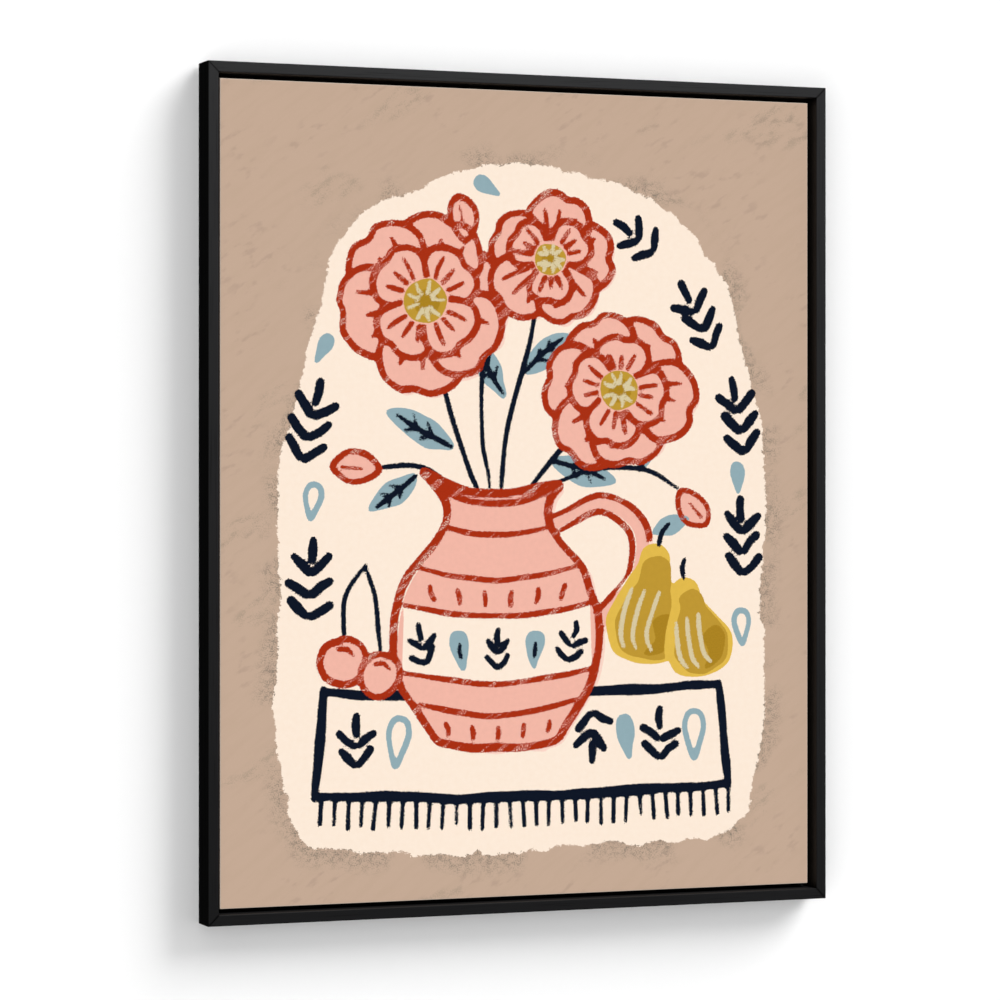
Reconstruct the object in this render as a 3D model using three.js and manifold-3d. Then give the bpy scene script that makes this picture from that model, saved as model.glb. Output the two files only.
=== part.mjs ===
// A canvas print in a black floater frame, as it hangs on a wall.
//
// Sizes are in millimetres, with +Z up. The picture faces -Y, and +X is to the right of someone
// who looks at it. The wall is the plane y = 0, and the origin is the middle of the hanger's
// face on that plane.

import * as THREE from 'three';
import { mergeVertices } from 'three/addons/utils/BufferGeometryUtils.js';
import Module from 'manifold-3d';

// --- Driving dimensions -----------------------------------------------------------------------

// The stretched canvas is a standard 22 by 28 inch size.
const CANVAS_W = 559;
const CANVAS_H = 711;
const CLOTH = 0.5; // thickness of the primed cloth
const TURN = 28; // width of the margin turned over the backs of the bars

// The moulding is an L: a thin wall round the picture, and a shelf behind it.
const FACE = 9.5; // thickness of the wall, which is the black face seen from the front
const FRAME_DEPTH = 28.5;
const GAP = 4; // shadow gap between the wall and the canvas
const RECESS = 10; // distance of the canvas behind the frame's front
const SHELF = 4.5; // thickness of the shelf
const SHELF_REACH = 22; // width of the shelf inside the wall
const EASE = 0.8; // rounding of the moulding's edges
const MITRE_PLAY = 0.2; // how far each end stays back from the corner's diagonal

// The stretcher bars carry the cloth on a raised bead along their outer edge.
const BAR_W = 38;
const BAR_D = 12.7;
const BEAD = 9; // width of the bead
const BEAD_RISE = 2; // height of the bead above the bar's inner edge
const BAR_EASE = 1.2;
const CROSS_D = 9; // depth of the cross bar between the two long bars
const PLAY = 0.1; // between the cloth and what it lies on

// Hanger, pads and fasteners stand behind the frame.
const STANDOFF = 2.5; // distance of the frame's back from the wall
const HANGER_DROP = 15; // the hanger's middle below the frame's top edge
const HANGER_L = 54;
const HANGER_H = 9;
const HANGER_T = 0.9;
const HANGER_FACE = 27; // length of the raised middle, which lies on the wall
const HANGER_RAMP = 4; // length of the slope from the middle to each foot
const TOOTH_PITCH = 3;
const TOOTH_DEPTH = 2;
const TEETH = 8;
const PAD_R = 5.5;
const PAD_EASE = 0.8; // slope of the pads' rims
const PAD_SIDES = 32;
const PAD_INSET = 14; // the pads' centres from the frame's edges
const HOLE_PLAY = 0.3; // round each shank and past its tip
const SEAT_PLAY = 0.05; // under each head, foot and pad

const SCREW = { headR: 3.6, headH: 2, shankR: 1.75, length: 11, sides: 24 };
const SCREW_IN = 23; // the screws' distance from the frame's outer edge
const SCREW_AT = 0.27; // their distance from the side's middle, as a share of its length
const DRIVE = { length: 4, width: 0.9, depth: 1.1 }; // the cross cut into a screw's head

const NAIL = { headR: 2, headH: 0.6, shankR: 0.8, length: 5, sides: 16 };

// A domed head's profile, as shares of its radius and height, and a blunt tip's share of the shank.
const DOME = [[1, 0], [1, 0.45], [0.75, 0.9], [0.4, 1], [0, 1]];
const TIP_SHARE = 0.4;

const CURVE_STEPS = 4; // segments of each rounded edge
const OVERCUT = 1; // how far a cutter runs past what it cuts

// --- Sizes that follow from them --------------------------------------------------------------

const OUTER_W = CANVAS_W + 2 * (GAP + FACE);
const OUTER_H = CANVAS_H + 2 * (GAP + FACE);
const CENTRE_Z = HANGER_DROP - OUTER_H / 2;
const FRAME_BACK = -STANDOFF;
const FRAME_FRONT = FRAME_BACK - FRAME_DEPTH;
const CLOTH_FRONT = FRAME_FRONT + RECESS;
const CLOTH_BACK = FRAME_BACK - SHELF - PLAY;
const BAR_OUTER = FACE + GAP + CLOTH + PLAY; // the bars' outer edge, from the frame's
const BAR_BACK = CLOTH_BACK - CLOTH - PLAY;
const FOOT_BACK = FRAME_BACK + SEAT_PLAY + HANGER_T;
const NAIL_X = (HANGER_L / 2 + HANGER_FACE / 2 + HANGER_RAMP) / 2;

// --- Finishes ---------------------------------------------------------------------------------

const finish = (color, roughness, metalness = 0) =>
  new THREE.MeshStandardMaterial({ color, roughness, metalness });

const blackPaint = finish(0x17171a, 0.45);
const primedCloth = finish(0xc4a994, 0.85);
const pine = finish(0xd9b98a, 0.7);
const steel = finish(0xb4b6b8, 0.35, 1);
const felt = finish(0x2a2a2c, 0.95);

// --- Joining and cutting ----------------------------------------------------------------------

const wasm = await Module();
wasm.setup();

function solidOf(geometry) {
  const plain = geometry.clone();
  plain.deleteAttribute('normal');
  plain.deleteAttribute('uv');
  const merged = mergeVertices(plain);
  return new wasm.Manifold(
    new wasm.Mesh({
      numProp: 3,
      vertProperties: new Float32Array(merged.attributes.position.array),
      triVerts: new Uint32Array(merged.index.array),
    }),
  );
}

function geometryOf(solid) {
  const mesh = solid.getMesh();
  const geometry = new THREE.BufferGeometry();
  geometry.setAttribute('position', new THREE.BufferAttribute(mesh.vertProperties, 3));
  geometry.setIndex(new THREE.BufferAttribute(mesh.triVerts, 1));
  const faceted = geometry.toNonIndexed();
  faceted.computeVertexNormals();
  return faceted;
}

function cut(geometry, tools) {
  return geometryOf(tools.reduce((solid, tool) => solid.subtract(solidOf(tool)), solidOf(geometry)));
}

// --- Shapes -----------------------------------------------------------------------------------

// A closed outline through [x, y, rounding] corners.
function easedOutline(corners) {
  const points = corners.map(([x, y]) => new THREE.Vector2(x, y));
  const outline = new THREE.Shape();
  points.forEach((corner, i) => {
    const rounding = corners[i][2] ?? 0;
    const towards = (other) => other.clone().sub(corner).setLength(rounding).add(corner);
    const start = towards(points.at(i - 1));
    const end = towards(points[(i + 1) % points.length]);
    if (i === 0) outline.moveTo(start.x, start.y);
    else outline.lineTo(start.x, start.y);
    if (rounding > 0) outline.quadraticCurveTo(corner.x, corner.y, end.x, end.y);
  });
  outline.closePath();
  return outline;
}

// The moulding's section: x runs inwards from the frame's outer edge, y forwards from its back.
function mouldingSection() {
  const reach = FACE + SHELF_REACH;
  return easedOutline([
    [0, 0, EASE],
    [reach, 0, EASE],
    [reach, SHELF, EASE],
    [FACE, SHELF],
    [FACE, FRAME_DEPTH, EASE],
    [0, FRAME_DEPTH, EASE],
  ]);
}

// The stretcher bar's section, in the same directions.
function barSection() {
  const inner = BAR_OUTER + BAR_W;
  return easedOutline([
    [BAR_OUTER, 0, BAR_EASE],
    [inner, 0, BAR_EASE],
    [inner, BAR_D - BEAD_RISE, BAR_EASE],
    [BAR_OUTER + BEAD, BAR_D],
    [BAR_OUTER, BAR_D, BAR_EASE],
  ]);
}

// A length with both ends mitred, along X, with its outer edge at z = 0 and its back at y = back.
function mitred(section, length, back) {
  const geometry = new THREE.ExtrudeGeometry(section, {
    depth: length,
    steps: 1,
    bevelEnabled: false,
    curveSegments: CURVE_STEPS,
  });
  const place = geometry.attributes.position;
  for (let i = 0; i < place.count; i++) {
    const trim = place.getX(i) + MITRE_PLAY;
    place.setZ(i, place.getZ(i) > length / 2 ? length - trim : trim);
  }
  geometry.translate(0, 0, -length / 2);
  geometry.applyMatrix4(
    new THREE.Matrix4().makeBasis(
      new THREE.Vector3(0, 0, -1),
      new THREE.Vector3(0, -1, 0),
      new THREE.Vector3(-1, 0, 0),
    ),
  );
  return geometry.translate(0, back, 0);
}

// A screw or nail that points along -Y, with its head's underside at y = 0.
function pin({ headR, headH, shankR, length, sides }) {
  const profile = [
    [0, -length],
    [shankR * TIP_SHARE, -length],
    [shankR, -length + 2 * shankR],
    [shankR, 0],
    ...DOME.map(([radius, height]) => [radius * headR, height * headH]),
  ];
  return new THREE.LatheGeometry(
    profile.map(([radius, along]) => new THREE.Vector2(radius, along)),
    sides,
  );
}

// The hole that a pin needs, from behind its head to past its tip.
function pinHole({ shankR, length, sides }, x, z, seat) {
  const depth = length + HOLE_PLAY + STANDOFF;
  const hole = new THREE.CylinderGeometry(shankR + HOLE_PLAY, shankR + HOLE_PLAY, depth, sides);
  return hole.translate(x, seat + STANDOFF - depth / 2, z);
}

function crossHeadScrew() {
  const height = DRIVE.depth + OVERCUT;
  const middle = SCREW.headH - DRIVE.depth + height / 2;
  const slot = (x, z) => new THREE.BoxGeometry(x, height, z).translate(0, middle, 0);
  return cut(pin(SCREW), [slot(DRIVE.length, DRIVE.width), slot(DRIVE.width, DRIVE.length)]);
}

function block(width, front, back, height) {
  return new THREE.BoxGeometry(width, back - front, height).translate(0, (front + back) / 2, 0);
}

// The cloth lies over the front and sides of the bars, and is turned over their backs.
function clothWrap(holes) {
  const outside = block(CANVAS_W, CLOTH_FRONT, CLOTH_BACK, CANVAS_H);
  const inside = block(
    CANVAS_W - 2 * CLOTH, CLOTH_FRONT + CLOTH, CLOTH_BACK - CLOTH, CANVAS_H - 2 * CLOTH,
  );
  const open = block(CANVAS_W - 2 * TURN, CLOTH_FRONT + CLOTH, 0, CANVAS_H - 2 * TURN);
  return cut(outside, [inside, open, ...holes]);
}

// A bent strip with two feet and a raised, toothed middle.
function sawtoothHanger() {
  const face = HANGER_FACE / 2;
  const foot = face + HANGER_RAMP;
  const end = HANGER_L / 2;
  const half = [[face, 0], [foot, FOOT_BACK], [end, FOOT_BACK]];
  const line = [...half.map(([x, y]) => [-x, y]).reverse(), ...half];
  const under = line.map(([x, y]) => [x, y - HANGER_T]).reverse();
  const strip = new THREE.ExtrudeGeometry(easedOutline([...line, ...under]), {
    depth: HANGER_H, steps: 1, bevelEnabled: false,
  });
  strip.translate(0, 0, -HANGER_H / 2);
  return cut(strip, [teethCutter(), ...[-1, 1].map((side) => nailHole(side, 0))]);
}

function teethCutter() {
  const start = (-TEETH * TOOTH_PITCH) / 2;
  const low = -HANGER_H / 2;
  const zigzag = [[start, low - OVERCUT]];
  for (let i = 0; i < TEETH; i++) {
    zigzag.push([start + i * TOOTH_PITCH, low]);
    zigzag.push([start + (i + 0.5) * TOOTH_PITCH, low + TOOTH_DEPTH]);
  }
  zigzag.push([-start, low], [-start, low - OVERCUT]);
  const comb = new THREE.ExtrudeGeometry(easedOutline(zigzag), {
    depth: 2 * STANDOFF, steps: 1, bevelEnabled: false,
  });
  return comb.rotateX(Math.PI / 2).translate(0, STANDOFF, 0);
}

const nailHole = (side, z) => pinHole(NAIL, side * NAIL_X, z, FOOT_BACK);

function pad() {
  const height = STANDOFF - SEAT_PLAY;
  const profile = [
    [0, 0], [PAD_R, 0], [PAD_R, height - PAD_EASE], [PAD_R - PAD_EASE, height], [0, height],
  ];
  return new THREE.LatheGeometry(profile.map(([r, y]) => new THREE.Vector2(r, y)), PAD_SIDES);
}

// --- Assembly ---------------------------------------------------------------------------------

function named(name, geometry, material) {
  const mesh = new THREE.Mesh(geometry, material);
  mesh.name = name;
  return mesh;
}

// One side of the picture, built as if it were the top one and then turned into place.
function side({ name, angle, length, reach }) {
  const group = new THREE.Group();
  group.rotation.y = angle;
  group.position.set(Math.sin(angle) * reach, 0, Math.cos(angle) * reach);

  const screwXs = [-1, 1].map((end) => end * SCREW_AT * length);
  const screwHoles = screwXs.map((x) => pinHole(SCREW, x, -SCREW_IN, FRAME_BACK));
  const nailHoles = name === 'top' ? [-1, 1].map((end) => nailHole(end, -HANGER_DROP)) : [];
  const moulding = mitred(mouldingSection(), length, FRAME_BACK);
  const bar = mitred(barSection(), length, BAR_BACK);
  group.add(
    named(`frame_${name}`, cut(moulding, [...screwHoles, ...nailHoles]), blackPaint),
    named(`stretcher_${name}`, cut(bar, screwHoles), pine),
  );
  screwXs.forEach((x, i) => {
    const screw = named(`screw_${name}_${i + 1}`, crossHeadScrew(), steel);
    screw.position.set(x, FRAME_BACK + SEAT_PLAY, -SCREW_IN);
    group.add(screw);
  });
  return group;
}

const SIDES = [
  { name: 'top', angle: 0, length: OUTER_W, reach: OUTER_H / 2 },
  { name: 'right', angle: Math.PI / 2, length: OUTER_H, reach: OUTER_W / 2 },
  { name: 'bottom', angle: Math.PI, length: OUTER_W, reach: OUTER_H / 2 },
  { name: 'left', angle: -Math.PI / 2, length: OUTER_H, reach: OUTER_W / 2 },
];

// The screws also pass through the turned margin of the cloth.
function clothHoles() {
  return SIDES.flatMap(({ angle, length, reach }) =>
    [-1, 1].map((end) => {
      const hole = pinHole(SCREW, end * SCREW_AT * length, reach - SCREW_IN, FRAME_BACK);
      return hole.rotateY(angle);
    }),
  );
}

function crossBar() {
  const length = CANVAS_W - 2 * (CLOTH + PLAY + BAR_W + HOLE_PLAY);
  return block(length, BAR_BACK - CROSS_D, BAR_BACK, BAR_W);
}

function picture() {
  const group = new THREE.Group();
  group.position.z = CENTRE_Z;
  SIDES.forEach((place) => group.add(side(place)));
  group.add(
    named('canvas', clothWrap(clothHoles()), primedCloth),
    named('cross_bar', crossBar(), pine),
  );
  return group;
}

function hangingParts() {
  const group = new THREE.Group();
  group.add(named('hanger', sawtoothHanger(), steel));
  for (const [label, end] of [['left', -1], ['right', 1]]) {
    const nail = named(`hanger_nail_${label}`, pin(NAIL), steel);
    nail.position.set(end * NAIL_X, FOOT_BACK + SEAT_PLAY, 0);
    const foot = named(`pad_${label}`, pad(), felt);
    foot.position.set(
      end * (OUTER_W / 2 - PAD_INSET), FRAME_BACK + SEAT_PLAY, HANGER_DROP - OUTER_H + PAD_INSET,
    );
    group.add(nail, foot);
  }
  return group;
}

const framedCanvas = new THREE.Group();
framedCanvas.add(picture(), hangingParts());

export default framedCanvas;
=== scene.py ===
# %% [markdown]
# # A canvas print in a black floater frame
#
# A cotton canvas is printed, stretched over four pine bars and set into an L-shaped black moulding
# that leaves a narrow dark gap all round, so that the picture seems to float. The moulding, the
# bars and the fasteners come as finished solids, and this lesson gives them their surfaces. It
# also makes the cloth with its print, the staples and folds behind it, and the corner nails.
#
# The solids are loaded first, because every size below is read from them.

# %% Load the solids
import math

import bmesh
import bpy
import numpy as np
from mathutils import Matrix, Vector


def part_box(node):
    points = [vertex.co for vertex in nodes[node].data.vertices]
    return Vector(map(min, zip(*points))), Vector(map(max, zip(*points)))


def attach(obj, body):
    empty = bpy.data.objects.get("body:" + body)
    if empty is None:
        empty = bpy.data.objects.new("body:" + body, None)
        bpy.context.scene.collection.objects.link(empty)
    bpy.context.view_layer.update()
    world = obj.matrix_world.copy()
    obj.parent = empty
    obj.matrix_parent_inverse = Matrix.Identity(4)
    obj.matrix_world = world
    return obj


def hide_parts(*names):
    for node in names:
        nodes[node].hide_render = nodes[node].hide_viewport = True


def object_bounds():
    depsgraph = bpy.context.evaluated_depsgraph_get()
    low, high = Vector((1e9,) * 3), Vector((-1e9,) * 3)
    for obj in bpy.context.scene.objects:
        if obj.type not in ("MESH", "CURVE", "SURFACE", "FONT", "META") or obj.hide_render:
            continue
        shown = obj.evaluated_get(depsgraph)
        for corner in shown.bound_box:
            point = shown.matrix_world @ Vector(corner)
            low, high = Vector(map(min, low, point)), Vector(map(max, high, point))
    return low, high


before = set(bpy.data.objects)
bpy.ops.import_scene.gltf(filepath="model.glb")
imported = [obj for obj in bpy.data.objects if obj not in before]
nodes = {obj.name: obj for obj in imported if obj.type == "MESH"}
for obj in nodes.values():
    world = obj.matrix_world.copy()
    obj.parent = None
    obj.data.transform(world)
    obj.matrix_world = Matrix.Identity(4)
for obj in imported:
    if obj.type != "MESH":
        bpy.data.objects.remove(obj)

scene = bpy.context.scene
cad_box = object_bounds()
print(f"{len(nodes)} solids, from {tuple(cad_box[0])} to {tuple(cad_box[1])} m")

# %% [markdown]
# ## Measures
#
# The cloth's place is read from its own solid. A drawing is easiest to lay out in millimetres from
# the middle of the picture, so `MM` turns those into the metres of the model.

# %% Measures of the cloth
MM = 0.001
THICK = 0.5  # of the cloth
TURNED = 28.0  # width of the margin behind the bars
cloth_low, cloth_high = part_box("canvas")
middle = (cloth_low + cloth_high) / 2
WIDE = (cloth_high.x - cloth_low.x) / MM
HIGH = (cloth_high.z - cloth_low.z) / MM
FRONT = cloth_low.y / MM
BACK = cloth_high.y / MM
print(f"cloth {WIDE:.0f} x {HIGH:.0f} mm, from {FRONT:.1f} to {BACK:.1f} mm deep")

# %% [markdown]
# ## Camera
#
# The picture was seen from its left, level with its middle, through a long lens. The camera is
# therefore level too, and its view is shifted a little instead of being tilted, which keeps the
# frame's upright edges parallel.

# %% Camera
CAMERA_PLACE = (-1.194, -2.990, -0.348)
CAMERA_TURN = 21.54
CAMERA_LENS = 130.4
CAMERA_SHIFT = -0.0135

camera = bpy.data.objects.new("camera", bpy.data.cameras.new("camera"))
camera.data.lens = CAMERA_LENS
camera.data.sensor_width = 36.0
camera.data.shift_y = CAMERA_SHIFT
camera.location = CAMERA_PLACE
camera.rotation_euler = (math.radians(90), 0, math.radians(-CAMERA_TURN))
scene.collection.objects.link(camera)
scene.camera = camera
print(f"camera {camera.location.length:.2f} m from the hanger, turned {CAMERA_TURN} degrees")

# %% [markdown]
# ## Writing materials as expressions
#
# A finish is a small network of nodes. It could be wired node by node, but then the sums in it are
# hard to read. `Wire` stands for one output of a node, and Python's own operators on it add the
# Math nodes, so that a mask can be written as `1 - worn * 0.5`. Every other node is added by the
# one method `add`, which takes the node's kind, its settings and its sockets.

# %% Wire, one output of a node
class Wire:
    """The output of one node. Arithmetic on it adds Math nodes."""

    def __init__(self, finish, socket):
        self.finish = finish
        self.socket = socket

    def math(self, operation, *values):
        return self.finish.add("Math", {"operation": operation}, dict(enumerate(values)))

    def __add__(self, other):
        return self.math("ADD", self, other)

    def __sub__(self, other):
        return self.math("SUBTRACT", self, other)

    def __rsub__(self, other):
        return self.math("SUBTRACT", other, self)

    def __mul__(self, other):
        return self.math("MULTIPLY", self, other)

    def __lt__(self, other):
        return self.math("LESS_THAN", self, other)

    def __gt__(self, other):
        return self.math("GREATER_THAN", self, other)

    def __abs__(self):
        return self.math("ABSOLUTE", self)

    __radd__ = __add__
    __rmul__ = __mul__


# %% Finish, the nodes of one material
class Finish:
    """A material, or the world, and the nodes that make its look."""

    def __init__(self, owner):
        owner.use_nodes = True
        self.owner = owner
        self.tree = owner.node_tree
        self.surface = next(node for node in self.tree.nodes if node.outputs)

    def add(self, kind, settings=None, sockets=None, output=0):
        node = self.tree.nodes.new("ShaderNode" + kind)
        for name, value in (settings or {}).items():
            setattr(node, name, value)
        for name, value in (sockets or {}).items():
            self.join(node.inputs[name], value)
        return Wire(self, node.outputs[output])

    def join(self, socket, value):
        if isinstance(value, Wire):
            self.tree.links.new(value.socket, socket)
        elif socket.type == "RGBA":
            socket.default_value = (*value, 1.0)
        else:
            socket.default_value = value

    def coat(self, **sockets):
        """Sets or wires the shader's own sockets: Base_Color is its Base Color."""
        for name, value in sockets.items():
            self.join(self.surface.inputs[name.replace("_", " ")], value)

    def show(self, shader):
        self.join(self.tree.get_output_node("ALL").inputs["Surface"], shader)

    def mix(self, share, under, over):
        return self.add("Mix", {"data_type": "RGBA"}, {0: share, 6: under, 7: over}, 2)

    def rise(self, value, low, high):
        """0 up to low, 1 from high on, and a soft step between."""
        settings = {"interpolation_type": "SMOOTHSTEP"}
        return self.add("MapRange", settings, {"Value": value, "From Min": low, "From Max": high})

    def grain(self, place, size, turn=0.0, detail=2.0):
        """Noise from 0 to 1 whose spots are about as long, wide and deep as size."""
        sizes = {"Vector": place, "Scale": size, "Rotation": (0, 0, math.radians(turn))}
        laid = self.add("Mapping", {"vector_type": "TEXTURE"}, sizes)
        return self.add("TexNoise", {}, {"Vector": laid, "Scale": 1.0, "Detail": detail})

    def relief(self, height, depth, strength=1.0):
        """Raises the surface by up to depth metres where height is 1."""
        sockets = {"Height": height, "Distance": depth, "Strength": strength}
        self.coat(Normal=self.add("Bump", {}, sockets))

    def place(self):
        """Metres in the model's own frame."""
        return self.add("TexCoord", {}, {}, "Object")

    def own(self, name):
        """A number that the mesh keeps at each of its points."""
        return self.add("Attribute", {"attribute_name": name}, {}, "Fac")


# %% Colours, and putting a finish on a solid
def swatch(red, green, blue, share=1.0):
    """A colour of 0 to 255 a channel, as light, times a share."""
    levels = [channel / 255 for channel in (red, green, blue)]
    return tuple(share * (x / 12.92 if x <= 0.04045 else ((x + 0.055) / 1.055) ** 2.4) for x in levels)


def new_finish(name):
    return Finish(bpy.data.materials.new(name))


def dress(finish, *names):
    for name in names:
        for slot in nodes[name].material_slots:
            slot.material = finish.owner


# %% [markdown]
# ## The black moulding
#
# Such a moulding is ayous or pine, sprayed in matt black. The paint sinks into the pores, so fine
# lines run along each length, and the light picks out where the gloss is uneven. The lines follow
# the wood: a noise stretched along X serves the top and the bottom, and one along Z the sides.
# That needs two finishes from one function, and keeps the mitres crisp. Each glued mitre shows as
# a thin dark line: the joint itself, deepened with painted shade of its hairline gap. The line lies
# where a point is as far in from the side as it is from the top or bottom.

# %% Black paint
MITRE_LINE = (0.0016, 0.0006)  # from how far off it starts to darken, and where it is darkest


def along(axis, length, across):
    """The size of a streak that runs along X or Z."""
    return (length, across, across) if axis == "X" else (across, across, length)


def off_the_mitre(paint, place):
    """How much farther in a point is from the side than from the top or bottom, in metres."""
    x, z = (paint.add("SeparateXYZ", {}, {0: place}, output) for output in (0, 2))
    return abs(abs(x) - abs(z - middle.z) + (cad_box[1].z - middle.z - cad_box[1].x))


def black_paint(axis):
    paint = new_finish(f"black_paint_{axis.lower()}")
    place = paint.place()
    pores = paint.grain(place, along(axis, 0.05, 0.0009), detail=3)
    cloud = paint.grain(place, along(axis, 0.16, 0.03))
    spray = paint.grain(place, (0.0007, 0.0007, 0.0007), detail=1)
    open_pore = paint.rise(pores, 0.56, 0.7)
    colour = paint.mix(cloud, swatch(33, 33, 34), swatch(39, 39, 40))
    # The dark mitre line: the joint, with painted shade of the gap between the members.
    joint_and_shade = paint.rise(off_the_mitre(paint, place), *MITRE_LINE)
    colour = paint.mix(joint_and_shade * 0.85, colour, swatch(6, 6, 6))
    paint.coat(
        Base_Color=paint.mix(open_pore * 0.5, colour, swatch(14, 14, 14)),
        Roughness=0.42 + 0.12 * cloud + 0.14 * open_pore,
        Specular_IOR_Level=0.1,
    )
    paint.relief(0.35 * spray - open_pore, 0.00008, 0.6)
    return paint


dress(black_paint("X"), "frame_top", "frame_bottom")
dress(black_paint("Z"), "frame_left", "frame_right")
print("painted the four sides of the frame")

# %% [markdown]
# ## The pine bars
#
# Stretcher bars are planed pine without any finish. Slow and fast growth show as bands along the
# bar, a few millimetres apart, pulled out of line here and there. Fibres run between them. As on
# the moulding, each bar's grain follows its length.

# %% Planed pine
def planed_pine(axis):
    pine = new_finish(f"planed_pine_{axis.lower()}")
    place = pine.place()
    drift = pine.grain(place, along(axis, 0.3, 0.05))
    rings = pine.grain(place, along(axis, 0.35, 0.006), detail=3)
    fibre = pine.grain(place, along(axis, 0.02, 0.0005), detail=3)
    late = pine.rise(rings + 0.25 * drift, 0.6, 0.74)
    pale = pine.mix(drift, swatch(224, 190, 142), swatch(208, 168, 118))
    warm = pine.mix(late * 0.75, pale, swatch(172, 122, 74))
    pine.coat(
        Base_Color=pine.mix(pine.rise(fibre, 0.52, 0.8) * 0.35, warm, swatch(150, 108, 70)),
        Roughness=0.62 + 0.14 * fibre,
        Specular_IOR_Level=0.3,
    )
    pine.relief(fibre - 0.4 * late, 0.00012, 0.5)
    return pine


dress(planed_pine("X"), "stretcher_top", "stretcher_bottom", "cross_bar")
dress(planed_pine("Z"), "stretcher_left", "stretcher_right")
print("five bars of pine")

# %% [markdown]
# ## Steel and felt
#
# The screws, nails and hanger are zinc-plated steel: a soft blue-grey shine with slightly darker
# patches. The two pads that keep the frame off the wall are black felt, whose fibres catch light
# at the rim, which the shader's sheen does.

# %% Zinc steel and felt
def zinc_steel():
    steel = new_finish("zinc_steel")
    place = steel.place()
    patches = steel.grain(place, (0.004, 0.004, 0.004), detail=3)
    scratches = steel.grain(place, (0.012, 0.0003, 0.0003))
    steel.coat(
        Base_Color=steel.mix(patches, swatch(196, 200, 204), swatch(164, 167, 172)),
        Metallic=1.0,
        Roughness=0.28 + 0.18 * patches + 0.1 * scratches,
    )
    steel.relief(scratches, 0.00002, 0.5)
    return steel


def black_felt():
    felt = new_finish("black_felt")
    fuzz = felt.grain(felt.place(), (0.0004, 0.0004, 0.0004), detail=3)
    felt.coat(
        Base_Color=felt.mix(fuzz, swatch(20, 20, 22), swatch(52, 52, 55)),
        Roughness=0.95,
        Specular_IOR_Level=0.1,
        Sheen_Weight=0.4,
    )
    felt.relief(fuzz, 0.0004)
    return felt


steel = zinc_steel()
dress(steel, *[name for name in nodes if name.startswith(("screw", "hanger"))])
dress(black_felt(), "pad_left", "pad_right")
print("steel on the fasteners and felt on the pads")

# %% [markdown]
# ## The stretched cloth
#
# The canvas is one sheet of cotton, cut larger than the picture and wrapped round the bars: a
# front, four sides and a margin turned over the back. A cloth simulation would only pull it as
# flat as this, so it is built directly. A grid makes the front. Its rim is then carried round the
# cloth's section, ring by ring, to the cut edge and back inside, until a last face closes it.
# Pulled cloth bends over a bar in a small round, so the rings follow quarter circles there.
#
# The print runs on round the edge, so every point also keeps its place on the flat cloth, `across`
# and `up`, in millimetres from the middle of the picture.

# %% The cloth's section
FOLD = 1.0  # radius of the fold at the front
BACK_FOLD = 0.8
COLUMNS = 240
ROWS = 306
PRINTED, RAW = 0, 1


def section():
    """Where the rim goes next, from the front to the cut edge and back inside: how far in from the
    side, how deep, how much cloth lies past the front by then, and which side of it shows."""
    rings = []
    for angle in (math.pi / 6, math.pi / 3, math.pi / 2):
        depth = FRONT + FOLD * (1 - math.cos(angle))
        rings.append((FOLD * (1 - math.sin(angle)), depth, FOLD * angle, PRINTED))
    gone = FOLD * math.pi / 2
    side = BACK - BACK_FOLD - FRONT - FOLD
    for share in (0.25, 0.5, 0.75, 1.0):
        rings.append((0.0, FRONT + FOLD + side * share, gone + side * share, PRINTED))
    gone += side
    for angle in (math.pi / 4, math.pi / 2):
        depth = BACK - BACK_FOLD * (1 - math.sin(angle))
        rings.append((BACK_FOLD * (1 - math.cos(angle)), depth, gone + BACK_FOLD * angle, PRINTED))
    gone += BACK_FOLD * math.pi / 2
    for inset in (TURNED / 2, TURNED):
        rings.append((inset, BACK, gone + inset - BACK_FOLD, PRINTED))
    gone += TURNED - BACK_FOLD
    rings.append((TURNED, BACK - THICK, gone + THICK, RAW))
    rings.append((THICK, BACK - THICK, gone, RAW))
    rings.append((THICK, FRONT + THICK, 0.0, RAW))
    return rings


CUT_PAST = max(past for inset, depth, past, side in section()) - THICK
FLAT = (WIDE - 2 * FOLD + 2 * CUT_PAST, HIGH - 2 * FOLD + 2 * CUT_PAST)
print(f"the cloth was cut to {FLAT[0]:.0f} x {FLAT[1]:.0f} mm")


# %% Carry the rim round the section
def note_flat_place(verts, layers, half, past):
    """Keeps each point's place on the flat cloth, past millimetres outside the grid."""
    for vert in verts:
        vert[layers[0]] = (vert.co.x - middle.x) / MM * (WIDE / 2 - FOLD + past) / half[0]
        vert[layers[1]] = (vert.co.z - middle.z) / MM * (HIGH / 2 - FOLD + past) / half[1]


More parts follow.
